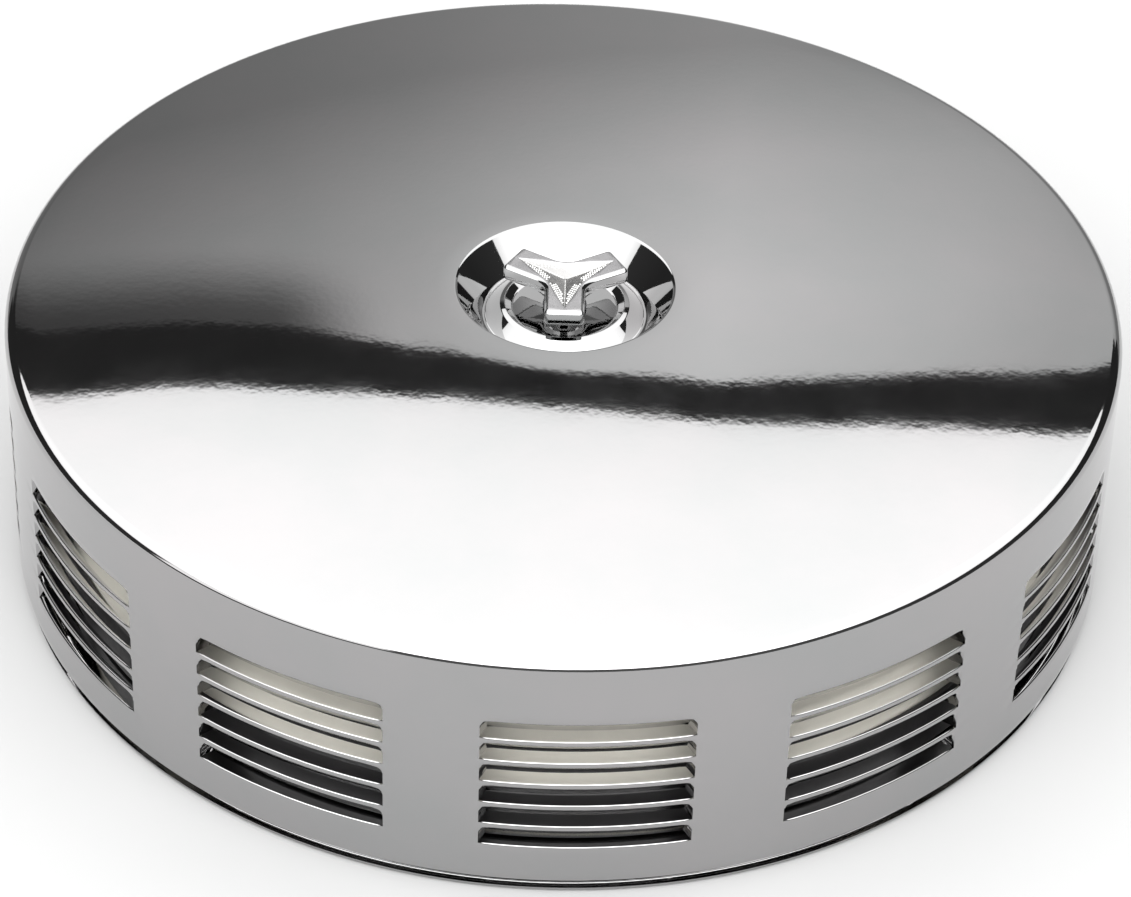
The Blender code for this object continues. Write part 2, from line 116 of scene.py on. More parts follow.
def mesh_object(name, points, faces, finish, sharp_degrees=38.0):
    """One smooth-shaded mesh object, with its hard edges marked sharp."""
    mesh = bpy.data.meshes.new(name)
    mesh.from_pydata([tuple(point) for point in points], [], faces)
    mesh.validate()
    mesh.materials.append(finish)
    made = bpy.data.objects.new(name, mesh)
    bpy.context.collection.objects.link(made)
    smooth(made, sharp_degrees)
    return made


def smooth(made, sharp_degrees=38.0):
    """Points the faces outwards, shades them smooth and marks the hard edges."""
    bm = bmesh.new()
    bm.from_mesh(made.data)
    bmesh.ops.recalc_face_normals(bm, faces=bm.faces)
    bm.to_mesh(made.data)
    bm.free()
    made.data.shade_smooth()
    made.data.set_sharp_from_angle(angle=math.radians(sharp_degrees))


def bake_modifiers(made, sharp_degrees=38.0):
    """Applies an object's modifiers to its mesh."""
    graph = bpy.context.evaluated_depsgraph_get()
    mesh = bpy.data.meshes.new_from_object(made.evaluated_get(graph))
    made.modifiers.clear()
    made.data = mesh
    smooth(made, sharp_degrees)


def fillet_path(corners, steps=6):
    """Turns (a, b, fillet radius) corners into a path of (a, b) points with round corners."""
    path = [corners[0][:2]]
    for before, corner, after in zip(corners, corners[1:], corners[2:]):
        here = Vector(corner[:2])
        back = (Vector(before[:2]) - here).normalized()
        ahead = (Vector(after[:2]) - here).normalized()
        half = back.angle(ahead) / 2.0
        if corner[2] <= 0.0 or half > math.radians(89.0):
            path.append(tuple(here))
            continue
        reach = corner[2] / math.tan(half)
        centre = here + (back + ahead).normalized() * (corner[2] / math.sin(half))
        first = here + back * reach - centre
        last = here + ahead * reach - centre
        sweep = first.angle_signed(last)
        for step in range(steps + 1):
            path.append(tuple(centre + Matrix.Rotation(-sweep * step / steps, 2) @ first))
    path.append(corners[-1][:2])
    return path


def sheet_section(path, thickness):
    """The closed section of a sheet whose middle follows a path of (radius, z) points."""
    left = []
    right = []
    for index, point in enumerate(path):
        before = path[max(index - 1, 0)]
        after = path[min(index + 1, len(path) - 1)]
        along = (Vector(after) - Vector(before)).normalized()
        across = Vector((-along.y, along.x)) * (thickness / 2.0)
        left.append(tuple(Vector(point) + across))
        right.append(tuple(Vector(point) - across))
    return left + right[::-1]


def lathe(outline, segments=ROUND_SEGMENTS):
    """Points and faces of an outline of (radius, z) points turned about Z.

    An outline that stands off the axis closes on itself; one that ends on the axis makes a solid.
    """
    points = []
    rings = []
    for radius, z in outline:
        if radius < 1e-9:
            rings.append([len(points)] * segments)
            points.append((0.0, 0.0, z))
            continue
        rings.append(list(range(len(points), len(points) + segments)))
        for step in range(segments):
            turn = 2.0 * math.pi * step / segments
            points.append((radius * math.cos(turn), radius * math.sin(turn), z))
    pairs = list(zip(rings, rings[1:]))
    if min(radius for radius, _ in outline) > 1e-9:
        pairs.append((rings[-1], rings[0]))
    return points, ring_faces(pairs)


def ring_faces(pairs):
    """Faces between pairs of closed rings of point numbers; a shared point makes a triangle."""
    faces = []
    for first, second in pairs:
        count = len(first)
        for step in range(count):
            after = (step + 1) % count
            corners = [first[step], first[after], second[after], second[step]]
            face = list(dict.fromkeys(corners))
            if len(face) > 2:
                faces.append(face)
    return faces


def turned_object(name, outline, finish, segments=ROUND_SEGMENTS):
    """A lathe piece as an object."""
    return mesh_object(name, *lathe(outline, segments), finish)


def join(target, others):
    """Joins loose detail meshes into one object, keeping each one's material."""
    bm = bmesh.new()
    bm.from_mesh(target.data)
    for other in others:
        slot = target.data.materials.find(other.data.materials[0].name)
        if slot < 0:
            target.data.materials.append(other.data.materials[0])
            slot = len(target.data.materials) - 1
        start = len(bm.faces)
        bm.from_mesh(other.data)
        bm.faces.ensure_lookup_table()
        for face in bm.faces[start:]:
            face.material_index = slot
        bpy.data.objects.remove(other)
    bm.to_mesh(target.data)
    bm.free()
    target.data.shade_smooth()
    target.data.set_sharp_from_angle(angle=math.radians(38.0))


# ---- Materials ------------------------------------------------------------------------------

def new_material(name, colour, roughness, metallic):
    """A Principled material and handy ways to reach its nodes."""
    made = bpy.data.materials.new(name)
    made.use_nodes = True
    shader = made.node_tree.nodes["Principled BSDF"]
    shader.inputs["Base Color"].default_value = (*colour, 1.0)
    shader.inputs["Roughness"].default_value = roughness
    shader.inputs["Metallic"].default_value = metallic
    return made, made.node_tree, shader


def object_space(tree, scale=(1.0, 1.0, 1.0)):
    """Object coordinates, stretched."""
    coordinates = tree.nodes.new("ShaderNodeTexCoord")
    mapping = tree.nodes.new("ShaderNodeMapping")
    mapping.inputs["Scale"].default_value = scale
    tree.links.new(coordinates.outputs["Object"], mapping.inputs["Vector"])
    return mapping.outputs["Vector"]


def noise_map(tree, vector, scale, detail=2.0, roughness=0.5):
    """A noise texture's value."""
    texture = tree.nodes.new("ShaderNodeTexNoise")
    texture.inputs["Scale"].default_value = scale
    texture.inputs["Detail"].default_value = detail
    texture.inputs["Roughness"].default_value = roughness
    tree.links.new(vector, texture.inputs["Vector"])
    return texture.outputs["Fac"]


def remap(tree, value, low, high):
    """Stretches a 0.3 to 0.7 value, where most of a noise lies, to a new range."""
    ranged = tree.nodes.new("ShaderNodeMapRange")
    ranged.inputs["From Min"].default_value = 0.3
    ranged.inputs["From Max"].default_value = 0.7
    ranged.inputs["To Min"].default_value = low
    ranged.inputs["To Max"].default_value = high
    tree.links.new(value, ranged.inputs["Value"])
    return ranged.outputs["Result"]


def colour_ramp(tree, value, stops):
    """A colour ramp over (position, colour) stops."""
    ramp = tree.nodes.new("ShaderNodeValToRGB")
    ramp.color_ramp.elements[0].position = stops[0][0]
    ramp.color_ramp.elements[0].color = (*stops[0][1], 1.0)
    ramp.color_ramp.elements[1].position = stops[-1][0]
    ramp.color_ramp.elements[1].color = (*stops[-1][1], 1.0)
    for position, colour in stops[1:-1]:
        ramp.color_ramp.elements.new(position).color = (*colour, 1.0)
    tree.links.new(value, ramp.inputs["Fac"])
    return ramp.outputs["Color"]


def add_bump(tree, shader, heights):
    """Chains bumps of (height socket, depth in metres) into the shader's normal."""
    before = None
    for height, depth in heights:
        bump = tree.nodes.new("ShaderNodeBump")
        bump.inputs["Distance"].default_value = depth
        tree.links.new(height, bump.inputs["Height"])
        if before:
            tree.links.new(before, bump.inputs["Normal"])
        before = bump.outputs["Normal"]
    tree.links.new(before, shader.inputs["Normal"])


def chrome_plate(name, peel_depth=5e-6, base_roughness=0.02):
    """Bright chrome with orange peel, faint polishing haze and a slightly warm or cool cast."""
    made, tree, shader = new_material(name, (0.38, 0.38, 0.38), base_roughness, 1.0)
    place = object_space(tree)
    haze = noise_map(tree, place, 14.0, 5.0, 0.6)
    tint = [(0.35, (0.372, 0.375, 0.375)), (0.65, (0.396, 0.388, 0.390))]
    tree.links.new(colour_ramp(tree, haze, tint), shader.inputs["Base Color"])
    polish = noise_map(tree, object_space(tree, (1.0, 1.0, 3.0)), 60.0, 6.0, 0.7)
    rough = remap(tree, polish, base_roughness, base_roughness + 0.02)
    tree.links.new(rough, shader.inputs["Roughness"])
    peel = noise_map(tree, place, 420.0, 1.0)
    ripple = noise_map(tree, place, 90.0, 1.0)
    add_bump(tree, shader, [(ripple, 1.2 * peel_depth), (peel, peel_depth)])
    return made


def satin_metal(name, colour, roughness, grain, stretch=(1.0, 1.0, 12.0)):
    """Plated or machined metal with fine directional grain and patchy colour."""
    made, tree, shader = new_material(name, colour, roughness, 1.0)
    place = object_space(tree)
    lines = noise_map(tree, object_space(tree, stretch), grain, 4.0, 0.7)
    patches = noise_map(tree, place, 90.0, 4.0)
    dark = tuple(0.82 * part for part in colour)
    tree.links.new(colour_ramp(tree, patches, [(0.35, dark), (0.65, colour)]), shader.inputs["Base Color"])
    tree.links.new(remap(tree, lines, roughness - 0.08, roughness + 0.10), shader.inputs["Roughness"])
    add_bump(tree, shader, [(lines, 1.2e-5)])
    return made


def soft_surface(name, colour, roughness, grain, depth, mottle=0.12):
    """Rubber, moulded seal, paper or felt: mottled colour over a fine grain."""
    made, tree, shader = new_material(name, colour, roughness, 0.0)
    place = object_space(tree)
    patches = noise_map(tree, place, 45.0, 6.0, 0.65)
    dark = tuple((1.0 - mottle) * part for part in colour)
    light = tuple(min(1.0, (1.0 + 0.5 * mottle) * part) for part in colour)
    tree.links.new(colour_ramp(tree, patches, [(0.3, dark), (0.7, light)]), shader.inputs["Base Color"])
    fine = noise_map(tree, place, grain, 4.0, 0.7)
    tree.links.new(remap(tree, fine, roughness - 0.06, roughness + 0.06), shader.inputs["Roughness"])
    add_bump(tree, shader, [(patches, 4.0 * depth), (fine, depth)])
    return made


CHROME = chrome_plate("chrome_cover", 3e-6)
BASE_CHROME = chrome_plate("chrome_base", 6e-6, 0.03)
NUT_CHROME = chrome_plate("chrome_nut", 3e-6, 0.03)
NUT_SATIN = satin_metal("satin_nut_face", (0.38, 0.375, 0.38), 0.34, 900.0, (1.0, 14.0, 1.0))
ZINC = satin_metal("zinc_plate", (0.62, 0.62, 0.58), 0.30, 500.0)
NUT_FROST = satin_metal("frosted_recess", (0.42, 0.415, 0.41), 0.26, 1600.0, (1.0, 1.0, 1.0))
NUT_GRAIN = satin_metal("frosted_grain", (0.86, 0.86, 0.85), 0.60, 2500.0, (1.0, 1.0, 1.0))
BRASS = satin_metal("turned_brass", (0.72, 0.55, 0.26), 0.26, 700.0)
RUBBER = soft_surface("gasket_rubber", (0.030, 0.030, 0.032), 0.72, 900.0, 3e-5)
WASHER_RUBBER = soft_surface("washer_rubber", (0.045, 0.045, 0.048), 0.60, 1200.0, 2e-5)
SEAL = soft_surface("moulded_seal", (0.026, 0.025, 0.026), 0.42, 500.0, 2e-5, 0.25)
PAPER = soft_surface("filter_paper", (0.84, 0.79, 0.64), 0.85, 1500.0, 4e-5, 0.07)
WRAP = soft_surface("non_woven_wrap", (0.88, 0.85, 0.76), 0.92, 1100.0, 5e-5, 0.06)
MESH_STEEL = satin_metal("mesh_steel", (0.55, 0.56, 0.56), 0.38, 600.0)


# ---- Cover ----------------------------------------------------------------------------------

def crown_z(radius):
    """Height of the lid's outer face between the dish and the corner."""
    fall = (radius ** 2 - DISH_LIP_RADIUS ** 2) / (CORNER_START ** 2 - DISH_LIP_RADIUS ** 2)
    return LID_EDGE_Z + LID_CROWN * (1.0 - fall)


def cover_columns(inside_steps=9, outside_steps=6):
    """Columns of the wall as (angle, distance inside a louvre's end, distance outside it)."""
    half = LOUVRE_HALF_ANGLE
    plain = math.pi / LOUVRE_GROUPS - half
    columns = []
    for group in range(LOUVRE_GROUPS):
        centre = LOUVRE_PHASE - math.pi / 2.0 + 2.0 * math.pi * group / LOUVRE_GROUPS
        inside = [half * (step / inside_steps) ** 2 for step in range(inside_steps + 1)]
        for reach in inside:
            columns.append((centre - half + reach, LID_RADIUS * reach, 0.0))
        for reach in inside[-2::-1]:
            columns.append((centre + half - reach, LID_RADIUS * reach, 0.0))
        outside = [plain * (step / outside_steps) ** 2 for step in range(1, outside_steps + 1)]
        for reach in outside:
            columns.append((centre + half + reach, 0.0, LID_RADIUS * reach))
        for reach in outside[-2::-1]:
            columns.append((centre + half + 2.0 * plain - reach, 0.0, LID_RADIUS * reach))
    return columns


def ease(value):
    """0 to 1 along a quarter of a sine."""
    return math.sin(math.pi / 2.0 * min(max(value, 0.0), 1.0))


def press_depth(inside, down):
    """How far the louvre is pressed in, at a distance from its end and from its root."""
    corner = LOUVRE_CORNER
    edge = min(inside, down)
    if inside < corner and down < corner:
        edge = corner - math.hypot(corner - inside, corner - down)
    return LOUVRE_PRESS * (down / LOUVRE_HEIGHT) ** 0.85 * ease(edge / LOUVRE_BEND)


def dimple(outside, above_lip):
    """A shallow dimple in the wall just past each end of a slot, where the sheet is drawn."""
    if outside <= 0.0:
        return 0.0
    reach = math.hypot(outside - 2.2 * MM, above_lip - 0.5 * MM) / (1.6 * MM)
    return 0.16 * MM * math.exp(-reach * reach)


def lid_outline():
    """The cover's outer face from the stud's hole to the top of the wall, as (radius, z)."""
    corners = [
        (STUD_RADIUS + 0.9 * MM, CUP_Z, 0.0),
        (PEDESTAL_RIM_RADIUS - 2.6 * MM, CUP_Z, 1.2 * MM),
        (PEDESTAL_RIM_RADIUS - 0.3 * MM, PEDESTAL_RIM_Z, 0.5 * MM),
        (PEDESTAL_RIM_RADIUS + 1.2 * MM, PEDESTAL_RIM_Z - 0.3 * MM, 1.2 * MM),
        (PEDESTAL_FOOT_RADIUS - 0.2 * MM, DISH_FLOOR_Z, 0.7 * MM),
        (DISH_FOOT_RADIUS, DISH_FLOOR_Z, 0.3 * MM),
        (DISH_CORNER_RADIUS, DISH_RIM_Z, DISH_ROUND),
        (DISH_LIP_RADIUS + 4.0 * MM, crown_z(DISH_LIP_RADIUS + 4.0 * MM), 0.0),
    ]
    outline = fillet_path(corners, 14)
    start = outline[-1][0]
    steps = 18
    for step in range(1, steps + 1):
        radius = start + (CORNER_START - start) * step / steps
        outline.append((radius, crown_z(radius)))
    for step in range(1, 11):
        turn = math.radians(90.0 * (1.0 - step / 10.0))
        radius = CORNER_START + CORNER_RADIUS * math.cos(turn)
        outline.append((radius, LID_EDGE_Z - CORNER_RADIUS * (1.0 - math.sin(turn))))
    return outline


def make_cover():
    """The lid, dish and louvred wall as one skin, thickened to sheet steel."""
    columns = cover_columns()
    points = []
    rings = []
    breaks = set()

    def add_ring(place, shared=None):
        ring = []
        for index, (angle, inside, outside) in enumerate(columns):
            if shared and inside <= 0.0:
                ring.append(shared[index])
                continue
            radius, z = place(inside, outside)
            ring.append(len(points))
            points.append((radius * math.cos(angle), radius * math.sin(angle), z))
        rings.append(ring)

    for radius, z in lid_outline():
        add_ring(lambda inside, outside, r=radius, h=z: (r, h))
    for z in (80.0 * MM, 74.0 * MM, 70.5 * MM):
        add_ring(lambda inside, outside, h=z: (LID_RADIUS, h))

    flap = (0.0, 0.06, 0.14, 0.24, 0.37, 0.52, 0.68, 0.84, 1.0)
    for number in reversed(range(LOUVRES_PER_GROUP)):
        lip = LOWEST_LOUVRE_Z + number * LOUVRE_PITCH

        def flap_place(inside, outside, share, lip=lip):
            open_slot = LOUVRE_SLOT * ease(inside / LOUVRE_BEND)
            z = lip + open_slot + (LOUVRE_HEIGHT - open_slot) * (1.0 - share)
            pressed = press_depth(inside, share * LOUVRE_HEIGHT)
            return LID_RADIUS - pressed - dimple(outside, z - lip), z

        def lip_place(inside, outside, fall, curl, lip=lip):
            curled = curl * ease(inside / LOUVRE_BEND)
            return LID_RADIUS - curled - dimple(outside, -fall), lip - fall

        for share in flap:
            add_ring(lambda inside, outside, s=share: flap_place(inside, outside, s))
        breaks.add(len(rings) - 1)
        add_ring(lambda inside, outside: lip_place(inside, outside, 0.0, 0.30 * MM), rings[-1])
        add_ring(lambda inside, outside: lip_place(inside, outside, 0.18 * MM, 0.08 * MM))
        add_ring(lambda inside, outside: lip_place(inside, outside, 0.50 * MM, 0.0))

    foot = cover_low.z
    for z in (16.5 * MM, 12.0 * MM, 8.0 * MM, foot + 0.4 * MM):
        add_ring(lambda inside, outside, h=z: (LID_RADIUS, h))
    add_ring(lambda inside, outside: (LID_RADIUS - 0.12 * MM, foot + 0.02 * MM))

    pairs = [pair for index, pair in enumerate(zip(rings, rings[1:])) if index not in breaks]
    cover = mesh_object("cover_shell", points, ring_faces(pairs), CHROME)
    if cover.data.polygons[0].normal.z < 0.0:
        cover.data.flip_normals()
    solidify = cover.modifiers.new("sheet", "SOLIDIFY")
    solidify.thickness = SHEET
    solidify.offset = -1.0
    bake_modifiers(cover)
    return cover


# ---- Base -----------------------------------------------------------------------------------

def make_base():
    """Base plate: neck, pressed bead, filter seat, skirt and rolled rim."""
    half = SHEET / 2.0
    floor_z = 6.4 * MM
    seat_z = 9.4 * MM
    neck = 0.5 * 5.125 * INCH + half
    skirt = 173.5 * MM
    rim = LID_RADIUS - 1.1 * MM - half
    rim_top = 1.8 * MM - half / 2.0
    corners = [
        (neck, base_low.z + 1.2 * MM, 0.0),
        (neck, floor_z, 1.5 * MM),
        (93.0 * MM, floor_z, 2.0 * MM),
        (95.5 * MM, floor_z + 2.5 * MM, 2.0 * MM),
        (104.5 * MM, floor_z + 2.5 * MM, 2.0 * MM),
        (107.0 * MM, floor_z, 2.0 * MM),
        (118.0 * MM, floor_z, 2.5 * MM),
        (122.0 * MM, seat_z, 2.5 * MM),
        (skirt, seat_z, 1.6 * MM),
        (skirt, half, 0.9 * MM),
        (rim, half, 0.8 * MM),
        (rim, rim_top, 0.0),
    ]
    section = sheet_section(fillet_path(corners, 5), SHEET)
    return turned_object("base_pan", section, BASE_CHROME)


def rounded_ring(inner, outer, low, high, edge):
    """The section of a flat ring with round edges."""
    corners = [
        ((inner + outer) / 2.0, low, 0.0),
        (outer, low, edge),
        (outer, high, edge),
        (inner, high, edge),
        (inner, low, edge),
        ((inner + outer) / 2.0, low, 0.0),
    ]
    return fillet_path(corners, 4)[:-1]


def make_gasket():
    """Flat rubber ring under the base, with round edges."""
    outer = gasket_high.x
    inner = outer - 9.0 * MM
    section = rounded_ring(inner, outer, gasket_low.z, gasket_high.z, 0.8 * MM)
    return turned_object("neck_gasket", section, RUBBER)


def make_bridge():
    """The bar across the neck, with round ends and softened edges."""
    half_width = (bridge_high.y - bridge_low.y) / 2.0
    straight = bridge_high.x - half_width
    thickness = bridge_high.z - bridge_low.z
    bm = bmesh.new()
    steps = 24
    outline = []
    for side in (1.0, -1.0):
        for step in range(steps + 1):
            turn = math.pi * (step / steps - 0.5)
            x = side * (straight + half_width * math.cos(turn))
            outline.append((x, side * half_width * math.sin(turn), bridge_low.z))
    face = bm.faces.new([bm.verts.new(point) for point in outline])
    grown = bmesh.ops.extrude_face_region(bm, geom=[face])
    top = [item for item in grown["geom"] if isinstance(item, bmesh.types.BMVert)]
    bmesh.ops.translate(bm, verts=top, vec=(0.0, 0.0, thickness))
    mesh = bpy.data.meshes.new("stud_bar")
    bm.to_mesh(mesh)
    bm.free()
    mesh.materials.append(ZINC)
    bar = bpy.data.objects.new("stud_bar", mesh)
    bpy.context.collection.objects.link(bar)
    edge = bar.modifiers.new("edge", "BEVEL")
    edge.width = 0.5 * MM
    edge.segments = 3
    bake_modifiers(bar)
    return bar


def make_rivet(name, x):
    """A closed rivet: domed head above the bar, flat head below the floor."""
    low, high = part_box(name)
    head = (high.x - low.x) / 2.0
    shank = 0.5 * head
    over = bridge_high.z + 0.3 * MM
    under = low.z + 1.2 * MM
    corners = [
        (0.0, low.z, 0.0),
        (head, low.z, 0.35 * MM),
        (head, under, 0.2 * MM),
        (shank, under, 0.0),
        (shank, over, 0.0),
        (head, over, 0.25 * MM),
        (head - 0.3 * MM, over + 0.9 * MM, 0.6 * MM),
        (0.55 * head, high.z - 0.1 * MM, 1.0 * MM),
        (0.0, high.z, 0.0),
    ]
    rivet = turned_object(name + "_dome", fillet_path(corners, 4), ZINC, 32)
    rivet.location.x = x
    return rivet


# ---- Stud and its nuts ----------------------------------------------------------------------

def make_stud():
    """The centre stud, with a real helical thread and chamfered ends."""
    low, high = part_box("center_stud")
    depth = 0.55 * MM
    turns_around = 20
    per_pitch = 8
    rows = int((high.z - low.z) / THREAD_PITCH * per_pitch)
    points = []
    rings = []
    for row in range(rows + 1):
        z = low.z + (high.z - low.z) * row / rows
        from_end = min(z - low.z, high.z - z)
        ring = []
        for step in range(turns_around):
            share = step / turns_around
            phase = (z / THREAD_PITCH - share) % 1.0
            groove = depth * min(1.0, max(0.0, 1.25 - abs(phase - 0.5) * 4.0))
            radius = min(STUD_RADIUS - groove, STUD_RADIUS - 0.8 * MM + from_end)
            turn = 2.0 * math.pi * share
            ring.append(len(points))
            points.append((radius * math.cos(turn), radius * math.sin(turn), z))
        rings.append(ring)
    faces = ring_faces(zip(rings, rings[1:]))
    for ring, z in ((rings[0], low.z), (rings[-1], high.z)):
        points.append((0.0, 0.0, z))
        faces.extend(ring_faces([(ring, [len(points) - 1] * turns_around)]))
    return mesh_object("threaded_stud", points, faces, ZINC, 60.0)


def make_hex_nut(name):
    """A hexagon nut with chamfered corners and a chamfered bore."""
    low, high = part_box(name)
    across_flats = (high.y - low.y) / 2.0 * math.cos(math.radians(30.0))
    bore = STUD_RADIUS + 0.35 * MM
    around = 96
    bottom = low.z
    top = high.z
    layers = (
        (bore, None, bottom + 0.4 * MM),
        (bore + 0.4 * MM, None, bottom),
        (across_flats * 0.96, None, bottom),
        (None, 0.5, bottom),
        (None, -0.5, top),
        (across_flats * 0.96, None, top),
        (bore + 0.4 * MM, None, top),
        (bore, None, top - 0.4 * MM),
    )
    points = []
    rings = []
    for radius, slope, z in layers:
        ring = []
        for step in range(around):
            turn = 2.0 * math.pi * step / around
            facet = math.remainder(turn, math.pi / 3.0)
            flat = across_flats / math.cos(facet)
            here = radius if slope is None else flat
            level = z if slope is None else z + slope * (flat - 0.96 * across_flats)
            ring.append(len(points))
            turned = turn + math.pi / 6.0
            points.append((here * math.cos(turned), here * math.sin(turned), level))
        rings.append(ring)
    faces = ring_faces(list(zip(rings, rings[1:])) + [(rings[-1], rings[0])])
    return mesh_object(name + "_hex", points, faces, ZINC, 30.0)


def make_lock_washer():
    """A split spring washer: a square wire bent round once, its ends a little apart."""
    low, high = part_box("bridge_lock_washer")
    outer = high.x
    inner = STUD_RADIUS + 0.4 * MM
    steps = 60
    thickness = 0.72 * (high.z - low.z)
    climb = (high.z - low.z) - thickness
    points = []
    rings = []
    for step in range(steps + 1):
        turn = math.radians(5.0 + 350.0 * step / steps)
        z = low.z + climb * step / steps
        ring = []
        for radius, height in ((inner, 0.0), (outer, 0.0), (outer, thickness), (inner, thickness)):
            ring.append(len(points))
            points.append((radius * math.cos(turn), radius * math.sin(turn), z + height))
        rings.append(ring)
    faces = ring_faces(zip(rings, rings[1:])) + [rings[0], rings[-1][::-1]]
    return mesh_object("split_washer", points, faces, ZINC, 30.0)


# ---- Filter element -------------------------------------------------------------------------

def make_seal(name, flip):
    """A moulded end seal: a ring with two lips that hold the pleats, and two pressed sealing ribs."""
    low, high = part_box(name)
    outer = high.x
    inner = outer - 30.0 * MM
    lip = 1.7 * MM
    floor_depth = 4.5 * MM
    lip_height = 4.0 * MM
    outside = low.z if not flip else None
    inner_face = low.z if not flip else crown_z(inner) - SHEET - 0.6 * MM
    outer_face = low.z if not flip else crown_z(outer) - SHEET - 0.6 * MM
    sign = 1.0 if outside is not None else -1.0
    groove = (low.z if not flip else outer_face) + sign * floor_depth
    tip = groove + sign * lip_height
    rib = 0.6 * MM * sign

    def face_z(radius):
        share = (radius - inner) / (outer - inner)
        return inner_face + (outer_face - inner_face) * share

    corners = [(inner, face_z(inner) + rib, 0.5 * MM)]
    for middle in (inner + 9.0 * MM, outer - 9.0 * MM):
        corners.append((middle - 2.4 * MM, face_z(middle) + rib, 0.5 * MM))
        corners.append((middle - 1.4 * MM, face_z(middle), 0.5 * MM))
        corners.append((middle + 1.4 * MM, face_z(middle), 0.5 * MM))
        corners.append((middle + 2.4 * MM, face_z(middle) + rib, 0.5 * MM))
    corners.append((outer, face_z(outer) + rib, 0.6 * MM))
    collar = tip if flip else groove + 14.0 * MM
    corners.append((outer, collar, 0.6 * MM))
    corners.append((outer - lip, collar, 0.4 * MM))
    corners.append((outer - lip, groove, 0.3 * MM))
    corners.append((inner + lip, groove, 0.3 * MM))
    corners.append((inner + lip, tip, 0.4 * MM))
    corners.append((inner, tip, 0.6 * MM))
    corners.append(corners[0])
    section = fillet_path(corners, 3)[1:-1]
    return turned_object(name + "_ring", section, SEAL, 180)


def make_pleats(pleats=168):
    """The filter paper: one sheet folded into pleats, with round folds."""
    low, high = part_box("filter_media")
    outer = high.x - 0.3 * MM
    inner = 139.2 * MM
    points = []
    per_pleat = 8
    count = pleats * per_pleat
    levels = (low.z, high.z)
    for z in levels:
        for step in range(count):
            phase = (step / per_pleat) % 1.0
            swing = 0.5 - 0.5 * math.cos(2.0 * math.pi * phase)
            sharp = min(1.0, max(0.0, (1.0 - abs(2.0 * phase - 1.0)) * 1.15 - 0.075))
            share = 0.3 * swing + 0.7 * sharp
            radius = inner + (outer - inner) * share
            turn = 2.0 * math.pi * step / count
            points.append((radius * math.cos(turn), radius * math.sin(turn), z))
    ring = list(range(count))
    faces = ring_faces([(ring, [index + count for index in ring])])
    pleated = mesh_object("pleated_paper", points, faces, PAPER, 80.0)
    solidify = pleated.modifiers.new("paper", "SOLIDIFY")
    solidify.thickness = 0.45 * MM
    solidify.offset = 0.0
    bake_modifiers(pleated, 60.0)
    return pleated


def make_screen():
    """The inner screen: expanded steel mesh rolled into a tube."""
    low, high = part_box("filter_inner_screen")
    radius = high.x - 0.4 * MM
    around = 150
    levels = 20
    points = []
    for level in range(levels + 1):
        z = low.z + 0.5 * MM + (high.z - low.z - 1.0 * MM) * level / levels
        for step in range(around):
            turn = 2.0 * math.pi * (step + 0.5 * (level % 2)) / around
            points.append((radius * math.cos(turn), radius * math.sin(turn), z))
    faces = []
    for level in range(levels - 1):
        for step in range(around):
            aside = (step + level % 2) % around
            left = level * around + step
            below_right = (level + 1) * around + aside
            below_left = (level + 1) * around + (aside - 1) % around
            top = (level + 2) * around + step
            faces.append((left, below_right, top, below_left))
    screen = mesh_object("expanded_screen", points, faces, MESH_STEEL, 80.0)
    wire = screen.modifiers.new("strands", "WIREFRAME")
    wire.thickness = 0.7 * MM
    bake_modifiers(screen, 60.0)
    return screen


def make_wrap():
    """The smooth outer wrap: a felted sheet with soft edges and one lapped seam."""
    low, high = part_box("filter_outer_wrap")
    outer = high.x
    inner = outer - 0.8 * MM
    section = rounded_ring(inner, outer - 0.1 * MM, low.z, high.z, 0.3 * MM)
    wrap = turned_object("felt_wrap", section, WRAP, 300)
    for vertex in wrap.data.vertices:
        turn = math.atan2(vertex.co.y, vertex.co.x)
        lap = math.exp(-((math.remainder(turn - 2.2, 2.0 * math.pi)) / 0.03) ** 4)
        ripple = 0.5 + 0.5 * math.sin(37.0 * turn) * math.sin(61.0 * turn + 90.0 * vertex.co.z)
        radius = math.hypot(vertex.co.x, vertex.co.y)
        if radius > inner + 0.35 * MM:
            scale = (radius - 0.12 * MM * ripple + 0.1 * MM * lap) / radius
            vertex.co.x *= scale
            vertex.co.y *= scale
    return wrap


# ---- Wing nut -------------------------------------------------------------------------------

def nut_arm_outline():
    """One arm's share of the nut's plan outline, arm along +X, as (point, outward normal)."""
    half = NUT_ARM_WIDTH / 2.0
    tip = 1.7 * MM
    start = (half + NUT_FILLET) / math.tan(math.radians(60.0))
    outline = []

    def straight(first, last, steps, normal):
        for step in range(steps):
            outline.append((first.lerp(last, step / steps), Vector(normal)))

    def curve(centre, radius, begin, end, steps, outward):
        for step in range(steps):
            turn = math.radians(begin + (end - begin) * step / steps)
            away = Vector((math.cos(turn), math.sin(turn)))
            outline.append((centre + away * radius, away * outward))

    end = NUT_ARM_LENGTH
    straight(Vector((start, -half)), Vector((end - tip, -half)), 26, (0.0, -1.0))
    curve(Vector((end - tip, -half + tip)), tip, -90.0, 0.0, 8, 1.0)
    straight(Vector((end, -half + tip)), Vector((end, half - tip)), 24, (1.0, 0.0))
    curve(Vector((end - tip, half - tip)), tip, 0.0, 90.0, 8, 1.0)
    straight(Vector((end - tip, half)), Vector((start, half)), 26, (0.0, 1.0))
    curve(Vector((start, half + NUT_FILLET)), NUT_FILLET, 270.0, 210.0, 22, -1.0)
    return outline


